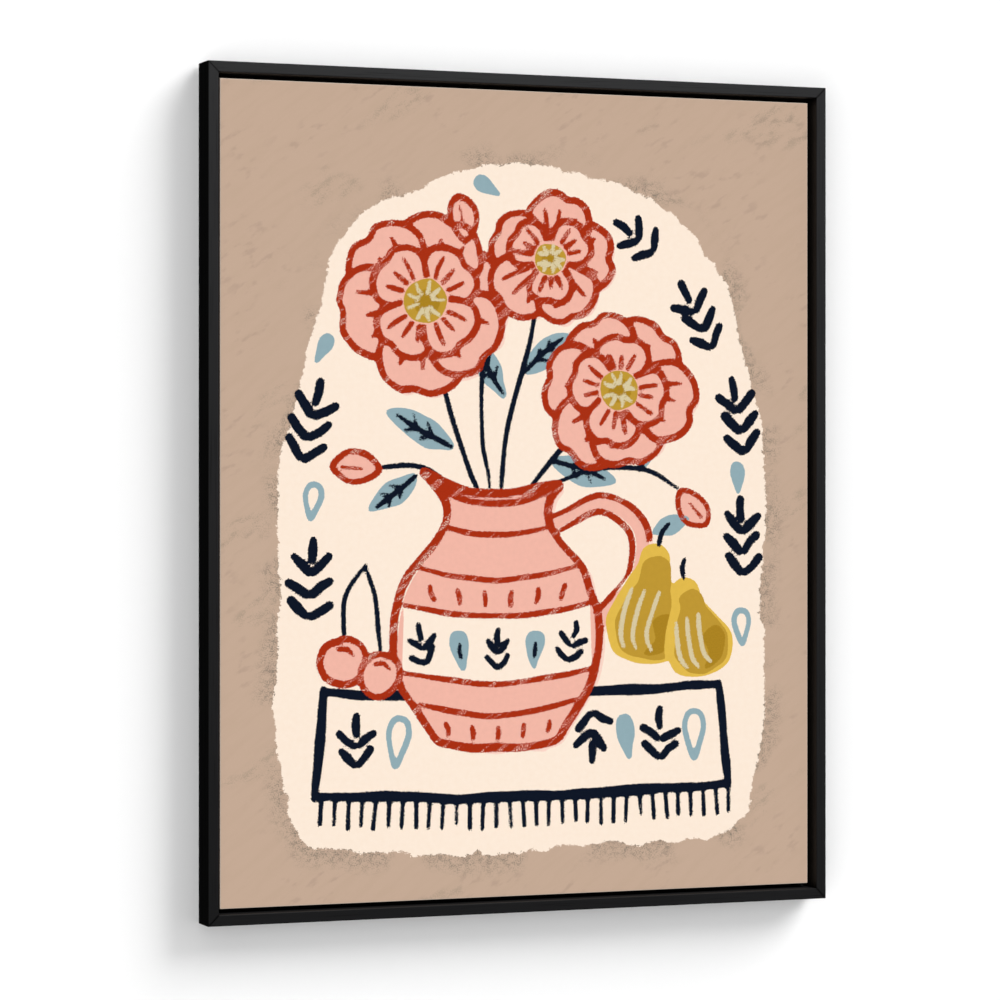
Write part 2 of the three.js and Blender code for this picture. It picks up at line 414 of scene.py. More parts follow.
def wrapped_cloth():
    bm = bmesh.new()
    layers = [bm.verts.layers.float.new(name) for name in ("across", "up")]
    half = (WIDE / 2 - FOLD, HIGH / 2 - FOLD)
    bmesh.ops.create_grid(bm, x_segments=COLUMNS, y_segments=ROWS, size=1.0)
    bmesh.ops.scale(bm, vec=(half[0] * MM, half[1] * MM, 1), verts=bm.verts)
    bmesh.ops.rotate(bm, matrix=Matrix.Rotation(math.pi / 2, 3, "X"), verts=bm.verts)
    bmesh.ops.translate(bm, vec=(middle.x, FRONT * MM, middle.z), verts=bm.verts)
    note_flat_place(bm.verts, layers, half, 0.0)
    rim = [edge for edge in bm.edges if edge.is_boundary]
    depth = FRONT
    for inset, next_depth, past, side in section():
        made = bmesh.ops.extrude_edge_only(bm, edges=rim)["geom"]
        for face in (item for item in made if isinstance(item, bmesh.types.BMFace)):
            face.material_index = side
        rim = [item for item in made if isinstance(item, bmesh.types.BMEdge) and item.is_boundary]
        verts = list({vert for edge in rim for vert in edge.verts})
        wide = (WIDE / 2 - inset, HIGH / 2 - inset)
        stretch = (wide[0] / half[0], 1, wide[1] / half[1])
        bmesh.ops.scale(bm, vec=stretch, verts=verts, space=Matrix.Translation(-middle))
        bmesh.ops.translate(bm, vec=(0, (next_depth - depth) * MM, 0), verts=verts)
        half, depth = wide, next_depth
        note_flat_place(verts, layers, half, past)
    for face in bmesh.ops.edgeloop_fill(bm, edges=rim)["faces"]:
        face.material_index = RAW
    bmesh.ops.recalc_face_normals(bm, faces=bm.faces)
    return bm


# %% Turn a bmesh into a piece
SHARP = math.radians(50)


def soften(bm):
    """Shades the faces as one surface, except across sharp edges."""
    for face in bm.faces:
        face.smooth = True
    for edge in bm.edges:
        edge.smooth = len(edge.link_faces) == 2 and edge.calc_face_angle(0.0) < SHARP


def finished(name, bm, *finishes):
    """Makes an object that stands at the origin, with its place in its mesh."""
    mesh = bpy.data.meshes.new(name)
    bm.to_mesh(mesh)
    bm.free()
    for finish in finishes:
        mesh.materials.append(finish.owner)
    piece = bpy.data.objects.new(name, mesh)
    scene.collection.objects.link(piece)
    return piece


cloth_mesh = wrapped_cloth()
soften(cloth_mesh)
print(f"cloth of {len(cloth_mesh.faces)} faces")

# %% [markdown]
# ## The printing plates
#
# The print looks like a crayon and gouache drawing, in flat inks. An image would do it, but a
# drawn outline stays sharp at any size, so each ink has a plate instead: a lattice that holds, in
# millimetres, how far each spot is from the nearest edge of that ink, and less than nothing inside
# it. The finish later lays the ink wherever its plate is below nothing, and a little noise added
# before that test gives the rough edge of a dry brush. A lattice of about 2 mm is enough, because
# a distance changes evenly from one spot to the next.
#
# Inks are laid from the first name to the last. A thing drawn in front of another one has to clear
# the plates behind it, which `cover` does.

# %% The lattice and one plate for each ink
CELL = 2.2
BLEED = 46.0  # print past the front's edge
NEAR = 12.0  # how far round a line its distances are worked out
FAR = 40.0
INKS = ("field", "echo", "pink", "blue", "ochre_light", "ochre", "ochre_dark", "pale", "navy", "red")

chance = np.random.default_rng(12)
lattice_x = np.arange(-WIDE / 2 - BLEED, WIDE / 2 + BLEED + CELL, CELL)
lattice_y = np.arange(-HIGH / 2 - BLEED, HIGH / 2 + BLEED + CELL, CELL)
spot_x, spot_y = np.meshgrid(lattice_x, lattice_y)
plates = {ink: np.full(spot_x.shape, FAR) for ink in INKS}


def window(points, reach):
    """The part of the lattice within reach of some points."""
    low, high = points.min(0) - reach, points.max(0) + reach
    across = slice(*np.searchsorted(lattice_x, (low[0], high[0])))
    up = slice(*np.searchsorted(lattice_y, (low[1], high[1])))
    return up, across


# %% Lines: smooth, and a little unsteady
def spline(points, closed=False, step=4.0):
    """A smooth line through the points, as one that a hand draws through marks."""
    p = np.array(points, float)
    if closed:
        ring = np.vstack([p[-1:], p, p[:2]])
    else:
        ring = np.vstack([2 * p[:1] - p[1:2], p, 2 * p[-1:] - p[-2:-1]])
    spans = []
    for a, b, c, d in zip(ring, ring[1:], ring[2:], ring[3:]):
        count = max(2, round(np.linalg.norm(c - b) / step))
        t = np.arange(count)[:, None] / count
        bend = (2 * a - 5 * b + 4 * c - d) * t**2 + (3 * b - a - 3 * c + d) * t**3
        spans.append(b + (c - a) * t / 2 + bend / 2)
    return np.vstack(spans + ([] if closed else [p[-1:]]))


def loop(outline):
    """An outline that ends where it starts, to be drawn as a line."""
    return np.vstack([outline, outline[:1]])


def shaky(line, amount, wave):
    """The line as an unsteady hand draws it, off by about amount every wave millimetres."""
    steps = np.linalg.norm(np.diff(line, axis=0), axis=1)
    run = np.concatenate([[0], np.cumsum(steps)])
    knots = np.linspace(0, run[-1], max(3, round(run[-1] / wave)))
    drift = chance.normal(0, amount, (len(knots), 2))
    return line + np.column_stack([np.interp(run, knots, drift[:, k]) for k in (0, 1)])


def placed(shape, at, angle, size=(1, 1)):
    """A shape drawn along X, stretched to a size, turned and moved to where it goes."""
    turn = np.radians(angle)
    forward = np.array([np.cos(turn), np.sin(turn)])
    sideways = np.array([-np.sin(turn), np.cos(turn)])
    stretched = np.asarray(shape, float) * size
    return np.asarray(at) + stretched[:, :1] * forward + stretched[:, 1:] * sideways


# %% Ink on a plate: strokes, patches and covers
def stroke(ink, line, width, taper=0.75):
    """A crayon line, whose width swells and thins on the way and tapers at its ends."""
    line = np.asarray(line, float)
    share = np.linspace(0, 1, len(line))
    knots = chance.uniform(0.84, 1.12, max(3, len(line) // 5))
    swell = np.interp(share, np.linspace(0, 1, len(knots)), knots)
    ends = np.minimum(1, taper + (1 - taper) * 6 * np.minimum(share, 1 - share))
    radius = width / 2 * swell * ends
    for a, b, start, end in zip(line, line[1:], radius, radius[1:]):
        spot = window(np.array([a, b]), NEAR)
        x, y, run = spot_x[spot] - a[0], spot_y[spot] - a[1], b - a
        t = np.clip((x * run[0] + y * run[1]) / max(run @ run, 1e-9), 0, 1)
        distance = np.hypot(x - t * run[0], y - t * run[1]) - (start + t * (end - start))
        plates[ink][spot] = np.minimum(plates[ink][spot], distance)


def edge_distance(outline, reach):
    """How far each spot near an outline is from it, below nothing inside."""
    spot = window(outline, reach)
    x, y = spot_x[spot], spot_y[spot]
    nearest = np.full(x.shape, reach, float)
    inside = np.zeros(x.shape, bool)
    for a, b in zip(outline, np.roll(outline, -1, 0)):
        run = b - a
        t = np.clip(((x - a[0]) * run[0] + (y - a[1]) * run[1]) / max(run @ run, 1e-9), 0, 1)
        nearest = np.minimum(nearest, np.hypot(x - a[0] - t * run[0], y - a[1] - t * run[1]))
        slope = run[0] / run[1] if abs(run[1]) > 1e-9 else 0.0
        inside ^= ((a[1] > y) != (b[1] > y)) & (x < a[0] + (y - a[1]) * slope)
    return spot, np.where(inside, -nearest, nearest)


def patch(ink, outline, reach=NEAR):
    """Ink inside an outline."""
    spot, distance = edge_distance(np.asarray(outline, float), reach)
    plates[ink][spot] = np.minimum(plates[ink][spot], distance)


def cover(outline, *inks, play=0.0):
    """Clears inks inside an outline, and up to play millimetres outside it."""
    spot, distance = edge_distance(np.asarray(outline, float), NEAR)
    for ink in inks:
        plates[ink][spot] = np.maximum(plates[ink][spot], play - distance)


# %% [markdown]
# ## The drawing
#
# The picture is a still life of this lesson's own: a jug of flowers on a fringed runner, with two
# pears and a pair of cherries. It is drawn back to front on a cream field, with navy dashes and
# pale blue drops as ornament. Each kind of thing is a function that draws it at a place, an angle
# and a size, so the same few shapes fill the sheet and no two come out quite alike.

# %% The cream field and the runner
FIELD = [(-222, -258), (-230, -190), (-226, -90), (-228, 10), (-208, 95), (-186, 165), (-146, 236),
         (-56, 284), (40, 286), (126, 262), (188, 204), (216, 124), (238, 20), (232, -80), (236, -170),
         (228, -250), (206, -300), (150, -311), (50, -314), (-60, -318), (-150, -311), (-204, -300)]
RUNNER = (-186, 190)
RUNNER_TOP = -172
RUNNER_FOOT = -262
RUNNER_SAG = 6
RUNNER_EDGE = 9.6  # width of the line
HEM_EDGE = 9
HEM_LEAN = (-4, 5)
FOOT_PAST = 9  # of the lower edge, past the upper one
FRINGE_STEP = 12.5
FRINGE = (24, 5.6)  # length and width of a thread

patch("field", shaky(spline(FIELD, closed=True), 1.6, 12), reach=FAR)


def sagging(left, right, height, sag):
    """A line across, which sags between its ends as cloth or a curved belly does."""
    mid = (left + right) / 2
    quarter = (right - left) / 4
    shoulder = height - sag * 0.7
    marks = [(left, height), (mid - quarter, shoulder), (mid, height - sag), (mid + quarter, shoulder)]
    return spline(marks + [(right, height)])


for height, past in ((RUNNER_TOP, 0), (RUNNER_FOOT, FOOT_PAST)):
    edge = sagging(RUNNER[0] - past, RUNNER[1] + past, height, RUNNER_SAG)
    stroke("navy", shaky(edge, 0.8, 30), RUNNER_EDGE)
for x, lean in zip(RUNNER, HEM_LEAN):
    half_way = (x + lean, (RUNNER_TOP + RUNNER_FOOT) / 2)
    hem = [(x, RUNNER_TOP + 2), half_way, (x + lean * 2, RUNNER_FOOT - 2)]
    stroke("navy", shaky(spline(hem), 0.7, 25), HEM_EDGE)
threads = np.arange(RUNNER[0] - 2, RUNNER[1] + 10, FRINGE_STEP)
for x in threads:
    from_middle = 2 * (x - RUNNER[0]) / (RUNNER[1] - RUNNER[0]) - 1
    root = (x, RUNNER_FOOT - RUNNER_SAG * (1 - from_middle**2) - 2)
    tip = np.add(root, (chance.normal(0, 1.2), -FRINGE[0] + chance.normal(0, 1.5)))
    stroke("navy", [root, tip], FRINGE[1])
print(f"a runner with a fringe of {len(threads)} threads")


# %% Dashes, sprigs and drops
SPRIG_STEP = 13
SPRIG_SPREAD = (48, 7)  # degrees from its line, and how much that varies
SPRIG_DASH = (13, 6.2)  # length and width
SPRIG_TIP = (12, 6)
DROP = [(0, 0), (0.3, 0.3), (0.68, 0.5), (0.95, 0.32), (1, 0), (0.93, -0.34), (0.66, -0.48), (0.3, -0.26)]
DROP_LINE = 5.4


def dash(at, angle, length, width, ink="navy"):
    half = length / 2
    line = placed([(-half, 0), (0, chance.normal(0, 0.8)), (half, 0)], at, angle)
    stroke(ink, line, width, taper=0.86)


def sprig(at, angle, pairs, size):
    """Pairs of dashes that lean out from a line, with one at its tip."""
    step = SPRIG_STEP * size
    long, wide = np.multiply(SPRIG_DASH, size)
    for i in range(pairs):
        root = placed([(step * i, 0)], at, angle)[0]
        for side in (-1, 1):
            lean = angle + side * chance.normal(*SPRIG_SPREAD)
            dash(placed([(9 * size, 0)], root, lean)[0], lean, long, wide)
    long, wide = np.multiply(SPRIG_TIP, size)
    dash(placed([(step * pairs + 3, 0)], at, angle)[0], angle, long, wide)


def drop(at, angle, length, width, hollow=False):
    outline = spline(placed(DROP, at, angle, (length, width)), closed=True, step=3)
    if hollow:
        stroke("blue", loop(outline), DROP_LINE, taper=1)
    else:
        patch("blue", shaky(outline, 0.6, 10))


# %% Ornament on the runner and round the field
RUNNER_MIDDLE = -216
ORNAMENT_HALF = 22  # of the height that a sprig or a drop takes there
RUNNER_DROP = (42, 19)
SPRIGS = (
    ((-200, -108), 86, 3, 1.45), ((-206, 28), 76, 3, 1.5), ((214, -74), 92, 3, 1.45),
    ((216, 36), 101, 3, 1.45), ((184, 130), 118, 3, 1.4), ((126, 216), 145, 2, 1.3),
)

for x, way in ((-156, 1), (66, -1), (132, 1)):
    sprig((x, RUNNER_MIDDLE - ORNAMENT_HALF * way), 90 * way, 2, 1.3)
for x, hollow in ((-120, True), (103, False), (166, True)):
    drop((x, RUNNER_MIDDLE - ORNAMENT_HALF), 90 + chance.normal(0, 7), *RUNNER_DROP, hollow)
for at, angle, pairs, size in SPRIGS:
    sprig(at, angle, pairs, size)
print(f"{len(SPRIGS)} sprigs round the field")

# %% Stems and leaves
LEAF = [(0, 0), (0.22, 0.36), (0.5, 0.5), (0.8, 0.3), (1, 0), (0.78, -0.34), (0.5, -0.5), (0.22, -0.34)]


def stem(points, width):
    stroke("navy", shaky(spline(points), 0.8, 22), width)


def leaf(at, angle, length, width, ribs=True):
    size = (length, width)
    patch("blue", shaky(spline(placed(LEAF, at, angle, size), closed=True), 0.9, 12))
    if not ribs:
        return
    middle_rib = placed([(0.02, 0), (0.4, 0.06), (0.84, 0)], at, angle, size)
    stroke("navy", shaky(spline(middle_rib), 0.5, 14), 4.8)
    for share in (0.3, 0.52):
        for side in (-1, 1):
            stroke("navy", placed([(share, 0.03), (share + 0.15, side * 0.3)], at, angle, size), 4.2)


STEMS = (
    ([(-40, -8), (-62, 50), (-84, 118)], 5),
    ([(-22, -8), (-14, 60), (6, 130), (14, 190)], 5),
    ([(-4, -8), (40, 42), (78, 74)], 5),
    ([(-30, -8), (-40, 70), (-38, 150), (-52, 232)], 4.4),
    ([(0, -4), (60, 20), (122, 20), (160, -2)], 4.4),
    ([(-46, -8), (-96, 22), (-142, 22)], 4.4),
)
LEAVES = (
    ((-66, 40), 152, 70, 27), ((-18, 84), 118, 62, 24), ((26, 30), -18, 66, 26), ((0, 106), 40, 58, 24),
    ((-44, 176), 128, 50, 21), ((-100, 16), 216, 56, 23), ((112, 20), 62, 48, 20),
)
for points, width in STEMS:
    stem(points, width)
for at, angle, length, width in LEAVES:
    leaf(at, angle, length, width)
print(f"{len(STEMS)} stems and {len(LEAVES)} leaves")

# %% Blossoms and buds
PETAL = [(0.0, 0.0), (0.26, 0.34), (0.62, 0.56), (0.9, 0.42), (1.02, 0.16), (0.97, -0.06), (1.0, -0.24),
         (0.86, -0.46), (0.58, -0.54), (0.24, -0.32)]
BUD = [(0, 0), (0.3, 0.34), (0.7, 0.4), (1, 0.06), (0.72, -0.38), (0.3, -0.36)]


def disc(at, turn, across, high):
    """An oval outline of eight marks."""
    ring = [(math.cos(a), math.sin(a)) for a in np.arange(8) * math.pi / 4]
    return spline(placed(ring, at, turn, (across, high)), closed=True, step=3)


def petal(at, angle, size):
    outline = spline(placed(PETAL, at, angle, size), closed=True, step=3.5)
    cover(outline, "red", "navy", "blue")
    patch("echo", shaky(outline + (3.5, -3), 1.0, 14))
    patch("pink", shaky(outline + (1.6, -1.2), 0.8, 16))
    stroke("red", shaky(loop(outline), 0.7, 14), 6.2, taper=1)
    for share in (-0.2, 0.02, 0.22):
        tip = 0.7 + chance.uniform(-0.06, 0.1)
        crease = placed([(0.36, share * 0.6), (0.55, share), (tip, share * 1.35)], at, angle, size)
        stroke("red", shaky(spline(crease), 0.4, 12), 4.6)


def blossom(at, size, petals, turn):
    patch("field", shaky(disc(at, turn, size * 1.22, size * 1.2), 2.0, 14), reach=FAR)
    for layer, count, reach, width in ((0, petals, 1.0, 0.92), (1, petals - 2, 0.66, 0.66)):
        for i in range(count):
            angle = turn + layer * 25 + 360 * i / count + chance.normal(0, 5)
            petal(at, angle, (size * reach * chance.uniform(0.92, 1.06), size * width))
    heart = disc(at, 10, size * 0.26, size * 0.25)
    cover(heart, "red", play=1)
    patch("ochre", shaky(heart, 0.7, 10))
    patch("ochre_dark", shaky(disc(np.asarray(at) + (1, -1), 10, size * 0.16, size * 0.15), 0.5, 9))
    for angle in np.arange(0, 360, 40):
        lean = angle + chance.normal(0, 4)
        dash(placed([(size * 0.155, 0)], at, lean)[0], angle, size * 0.14, 3.8, "pale")


def bud(at, angle, size):
    outline = spline(placed(BUD, at, angle, (size * 1.3, size)), closed=True, step=3)
    cover(outline, "navy", "blue")
    patch("pink", shaky(outline + (1.5, -1), 0.6, 12))
    stroke("red", shaky(loop(outline), 0.6, 12), 5.6, taper=1)
    stroke("red", placed([(0.35, 0.02), (0.8, 0.06)], at, angle, (size * 1.3, size)), 4.4)


blossom((-92, 168), 78, 6, 20)
blossom((92, 92), 70, 6, 50)
blossom((26, 208), 58, 5, 5)
bud((-54, 222), 98, 30)
bud((152, 2), -52, 30)
bud((-136, 20), 172, 32)
print("three blossoms and three buds")

# %% The jug
AXIS = -24
JUG_HALF = [(44, -222), (66, -204), (92, -160), (97, -118), (84, -74), (58, -42), (48, -22), (50, -4)]
JUG_LIP = [(58, 8), (20, 2), (-26, 1), (-70, 18)]
HANDLE = [(28, -26), (74, -8), (112, -30), (110, -74), (84, -104), (66, -120)]
HANDLE_OUT = [(30, -20), (76, -1), (119, -28), (117, -78), (90, -110), (72, -124)]
HANDLE_IN = [(34, -34), (72, -17), (103, -36), (101, -71), (80, -96), (70, -106)]
MOUTH = [(-66, 16), (-30, -6), (16, -8), (54, 4)]
HOOP = 5.4  # width of the lines round the jug

right_side = [(AXIS + out, height) for out, height in JUG_HALF]
lip = [(AXIS + out, height) for out, height in JUG_LIP]
left_side = [(AXIS - out, height) for out, height in reversed(JUG_HALF)]
jug = spline(right_side + lip + left_side, closed=True)
handle = spline(HANDLE)
stroke("echo", handle + (3, -3), 15, taper=1)
cover(jug, "navy", "blue")
patch("echo", shaky(jug + (5, -4), 1.4, 24))
stroke("pink", handle, 14, taper=1)
patch("pink", shaky(jug + (2, -2), 1.0, 26))
stroke("red", shaky(spline(HANDLE_OUT), 0.7, 18), 6.4)
stroke("red", shaky(spline(HANDLE_IN), 0.7, 18), 5.8)
stroke("red", shaky(loop(jug), 0.9, 22), 7.4, taper=1)
stroke("red", shaky(spline([(AXIS + out, height) for out, height in MOUTH]), 0.6, 18), 5.6)
for height, half, sag in ((-30, 48, 7), (-66, 74, 10), (-184, 74, 12)):
    stroke("red", shaky(sagging(AXIS - half, AXIS + half, height, sag), 0.6, 20), HOOP)
print(f"jug {jug.max(0)[1] - jug.min(0)[1]:.0f} mm high")

# %% The band of ornament on the jug's belly
BAND = (-98, -156)
BAND_HALF = (88, 90)
BAND_SAG = 11

upper, lower = (
    sagging(AXIS - half, AXIS + half, height, BAND_SAG) for height, half in zip(BAND, BAND_HALF)
)
cover(np.vstack([upper, lower[::-1]]), "pink", "echo")
for edge in (upper, lower):
    stroke("red", shaky(edge, 0.6, 20), HOOP)
for i, x in enumerate(np.linspace(-66, 66, 5)):
    foot = (AXIS + x, -147 - BAND_SAG * (1 - (x / 90) ** 2))
    lean = 90 - x * 0.2
    if i % 2:
        drop(foot, lean, 36, 19)
        dash(placed([(18, 0)], foot, lean)[0], lean, 13, 4.4)
    else:
        sprig(placed([(3, 0)], foot, lean)[0], lean, 2, 1.0)
for x in np.linspace(-62, 62, 6):
    dash((AXIS + x, -84 - 9 * (1 - (x / 78) ** 2)), 90 - x * 0.3, 12, 5.4, "red")
for x in np.linspace(-48, 48, 5):
    dash((AXIS + x, -204 - 7 * (1 - (x / 60) ** 2)), 90 - x * 0.3, 10, 5.2, "red")
print("the jug's band and two rows of dashes")

# %% Pears and cherries
PEAR = [(0.04, 1.0), (-0.16, 0.92), (-0.22, 0.66), (-0.42, 0.3), (-0.52, -0.04), (-0.36, -0.38),
        (0.0, -0.46), (0.38, -0.38), (0.54, -0.02), (0.42, 0.3), (0.24, 0.62), (0.2, 0.9)]
PEAR_SHADE = [(0.1, 0.1), (0.36, 0.16), (0.4, -0.06), (0.28, -0.3), (0.02, -0.36), (0.14, -0.16)]


def pear(at, size, lean):
    outline = spline(placed(PEAR, at, lean, (size, size)), closed=True, step=3.5)
    cover(outline, "navy", "blue", "red", "pale", "ochre", "ochre_dark", play=2)
    patch("ochre_light", shaky(outline, 0.9, 14))
    inner = placed(np.asarray(PEAR) * (0.84, 0.86), np.asarray(at) + (3, -1), lean, (size, size))
    patch("ochre", shaky(spline(inner, closed=True), 1.2, 12))
    shade = spline(placed(PEAR_SHADE, at, lean, (size, size)), closed=True)
    patch("ochre_dark", shaky(shade, 1.0, 12))
    for share in (-0.3, -0.12, 0.06):
        streak = [(share + 0.06, 0.42), (share, 0.16), (share - 0.02, -0.14), (share + 0.05, -0.3)]
        stroke("pale", shaky(spline(placed(streak, at, lean, (size, size))), 0.6, 14), 4.6)
    stalk = placed([(0.04, 0.98), (0.06, 1.14), (0.14, 1.26)], at, lean, (size, size))
    stroke("navy", spline(stalk), 5)


def cherry(at, radius):
    outline = disc(at, chance.uniform(0, 40), radius, radius * 0.94)
    cover(outline, "navy", "blue", "red")
    patch("pink", shaky(outline + (1.5, -1.5), 0.6, 12))
    stroke("red", shaky(loop(outline), 0.6, 12), 6.2, taper=1)
    stroke("red", spline(placed([(0.5, -0.1), (0.45, 0.3), (0.1, 0.55)], at, 40, (radius, radius))), 4.4)


pear((118, -118), 74, -8)
pear((170, -136), 62, 16)
leaf((124, -36), 20, 40, 17, ribs=False)
stem([(-168, -128), (-166, -90), (-148, -62)], 4.4)
stem([(-134, -142), (-138, -100), (-148, -62)], 4.4)
cherry((-168, -146), 21)
cherry((-134, -158), 19)
print("two pears and two cherries")

# %% Loose drops
for at, angle, hollow in (
    ((-198, -22), 82, True), ((-194, 112), 60, False), ((210, -2), 92, False), ((214, -136), 93, True),
    ((-20, 262), 150, False),
):
    drop(at, angle, 30, 15, hollow)
inked = {ink: round(float((plate < 0).mean()), 3) for ink, plate in plates.items()}
print("share of the sheet under each ink:", inked)

# %% [markdown]
# ## From the plates to the cloth
#
# A finish can't read the lattice, but it can read numbers kept at the mesh's points. So each plate
# is sampled at every point of the cloth, through its place on the flat sheet, and stored there
# under the ink's name. `past` says how far a point lies outside the front of the picture.

# %% Sample the plates
def sampled(plate, across, up):
    """The plate's value at each place, from the four lattice spots round it."""
    x, y = (across - lattice_x[0]) / CELL, (up - lattice_y[0]) / CELL
    column, row = x.astype(int), y.astype(int)
    right, above = x - column, y - row
    foot = plate[row, column] * (1 - right) + plate[row, column + 1] * right
    head = plate[row + 1, column] * (1 - right) + plate[row + 1, column + 1] * right
    return foot * (1 - above) + head * above


def keep(mesh, name, values):
    attribute = mesh.attributes.new(name, "FLOAT", "POINT")
    attribute.data.foreach_set("value", values.astype(np.float32))


def kept(mesh, name):
    values = np.zeros(len(mesh.vertices), np.float32)
    mesh.attributes[name].data.foreach_get("value", values)
    return values.astype(float)


# %% [markdown]
# ## Printed and raw cotton
#
# The printed side is primed cotton under matt ink. Every ink gets its own dry edge: a fine grit
# is added to its distance before the test, more of it for crayon than for flat fills. Behind the
# field lies a warm grey ground with faint slanting brush marks, and charcoal smudges follow the
# field's edge. The ink is paler in a narrow, patchy band where the cloth turns over the bar, and
# the margin behind is bare white primer. Two stretched noises, one along each thread, stand for
# the weave, because a regular pattern would beat with the pixels of a picture taken from afar.

# %% Inks of the print
LIGHT = 1.05  # how much light falls on the picture, so that its colours come out as they are
INK_COLOURS = {
    "echo": (249, 212, 196),
    "pink": (241, 182, 165),
    "blue": (144, 171, 179),
    "ochre_light": (225, 185, 75),
    "ochre": (190, 150, 50),
    "ochre_dark": (170, 130, 30),
    "pale": (215, 200, 160),
    "navy": (5, 16, 34),
    "red": (168, 45, 12),
}
FLAT_INKS = ("echo", "pink", "blue", "ochre_light", "ochre")
ROUGH_FLAT, ROUGH_CRAYON = 1.6, 3.4  # millimetres that the grit moves an edge by
PLAY_FLAT, PLAY_CRAYON = 0.05, 0.22  # how much lighter and darker an ink gets


def ink_tone(red, green, blue, share=1.0):
    return swatch(red, green, blue, share / LIGHT)


def lay_ink(cloth, name, noise, colour):
    """Lays one ink over a colour, wherever its plate is below nothing."""
    flat = name in FLAT_INKS
    rough = ROUGH_FLAT if flat else ROUGH_CRAYON
    laid = (cloth.own(name) + rough * (noise["grit"] - 0.5)) < 0
    if name == "red":
        skipped = cloth.rise(noise["brush"], 0.52, 0.6) * (noise["grit"] > 0.54)
        laid = laid * (1 - 0.8 * skipped)
    play = PLAY_FLAT if flat else PLAY_CRAYON
    shades = [ink_tone(*INK_COLOURS[name], share) for share in (1 + play, 1 - play)]
    return cloth.mix(laid, colour, cloth.mix(noise["coarse" if flat else "grit"], *shades))


# %% The ground and the field under the inks
def warm_ground(cloth, noise):
    """Grey brushed on at a slant, with darker dabs and rubbed spots."""
    brushed = cloth.rise(noise["brush"], 0.42, 0.66) * 0.3
    colour = cloth.mix(brushed, ink_tone(196, 169, 148), ink_tone(190, 164, 142))
    marks = cloth.rise(noise["dabs"], 0.53, 0.68) * cloth.rise(noise["patches"], 0.46, 0.6)
    colour = cloth.mix(marks * 0.3, colour, ink_tone(160, 136, 122))
    specks = cloth.rise(noise["dabs"] + noise["grit"], 0.98, 1.2)
    rubbed = cloth.rise(noise["rubs"], 0.6, 0.68) * specks
    return cloth.mix(rubbed * 0.4, colour, ink_tone(146, 134, 116))


def cream_field(cloth, noise, ground):
    """The field with its torn edge, over charcoal smudges that follow the edge."""
    grit, coarse = noise["grit"], noise["coarse"]
    near = cloth.rise(cloth.own("field"), 24, 2)
    specks = cloth.rise(noise["patches"], 0.44, 0.56) * cloth.rise(grit + 0.5 * coarse, 0.72, 0.9)
    colour = cloth.mix(near * specks * 0.75, ground, ink_tone(112, 108, 96))
    cream = cloth.mix(coarse, ink_tone(254, 237, 220), ink_tone(250, 230, 210))
    torn = cloth.own("field") + 5 * (grit - 0.5) + 7 * (coarse - 0.5)
    return cloth.mix(torn < 0, colour, cream)


# %% Printed cotton
MARGIN_FROM = 20  # millimetres past the front, where the print ends


def printed_cotton():
    cloth = new_finish("printed_cotton")
    place = cloth.add("CombineXYZ", {}, {0: cloth.own("across"), 1: cloth.own("up")})
    noise = {
        "grit": cloth.grain(place, (1.1, 1.1, 1.1), detail=3),
        "coarse": cloth.grain(place, (5, 5, 5)),
        "dabs": cloth.grain(place, (16, 7, 1), turn=32, detail=5),
        "brush": cloth.grain(place, (40, 7, 1), turn=38, detail=3),
        "patches": cloth.grain(place, (60, 60, 60), detail=1),
        "rubs": cloth.grain(place, (110, 46, 1), turn=24, detail=1),
    }
    colour = cream_field(cloth, noise, warm_ground(cloth, noise))
    for name in INKS[1:]:
        colour = lay_ink(cloth, name, noise, colour)
    past, grit = cloth.own("past"), noise["grit"]
    # Ink mixed towards near-white in a narrow, patchy band along the fold over the bar.
    paler_fold = cloth.rise(past, -1.2, 0.2) * cloth.rise(past, 3.0, 1.0)
    colour = cloth.mix(paler_fold * (0.45 + 0.4 * grit), colour, swatch(238, 228, 214))
    colour = cloth.mix(past > MARGIN_FROM, colour, swatch(232, 230, 224))
    warp = cloth.grain(place, (0.7, 9, 1))
    weft = cloth.grain(place, (9, 0.7, 1))
    cloth.coat(Base_Color=colour, Roughness=0.7 + 0.16 * grit, Specular_IOR_Level=0.06)
    cloth.relief(warp + weft + 0.4 * grit, 0.00007, 0.7)
    return cloth


# %% Raw cotton
def raw_cotton():
    cloth = new_finish("raw_cotton")
    place = cloth.place()
    warp = cloth.grain(place, (0.0007, 0.1, 0.012))
    weft = cloth.grain(place, (0.012, 0.1, 0.0007))
    slub = cloth.grain(place, (0.03, 0.1, 0.0012))
    thread = cloth.mix(0.5 * warp + 0.5 * weft, swatch(206, 196, 176), swatch(236, 229, 214))
    fleck = cloth.rise(slub, 0.66, 0.76) * 0.5
    cloth.coat(
        Base_Color=cloth.mix(fleck, thread, swatch(176, 160, 134)),
        Roughness=0.9,
        Specular_IOR_Level=0.2,
    )
    cloth.relief(warp + weft, 0.00015)
    return cloth


# %% Put the cloth together
canvas = finished("stretched_canvas", cloth_mesh, printed_cotton(), raw_cotton())
flat_x, flat_y = (kept(canvas.data, name) for name in ("across", "up"))
for ink, plate in plates.items():
    keep(canvas.data, ink, sampled(plate, flat_x, flat_y))
keep(canvas.data, "past", np.maximum(np.abs(flat_x) - WIDE / 2, np.abs(flat_y) - HIGH / 2))
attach(canvas, "root")
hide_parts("canvas")
print(f"{canvas.name}: {len(canvas.data.vertices)} points, {len(canvas.data.attributes)} attributes")

# %% [markdown]
# ## Behind the picture
#
# The margin is stapled to the bars every few centimetres, never quite in line. At each corner the
# spare cloth is folded into a flat pleat. The moulding's mitres are glued, and two V-shaped nails
# are pressed in across each of them. All of these are bars of a few millimetres with eased edges,
# so one function makes them from a cube and a bevel. They lie just clear of what they are on.

# %% Small bars
CLEAR = 0.02  # between a bar and what it lies on


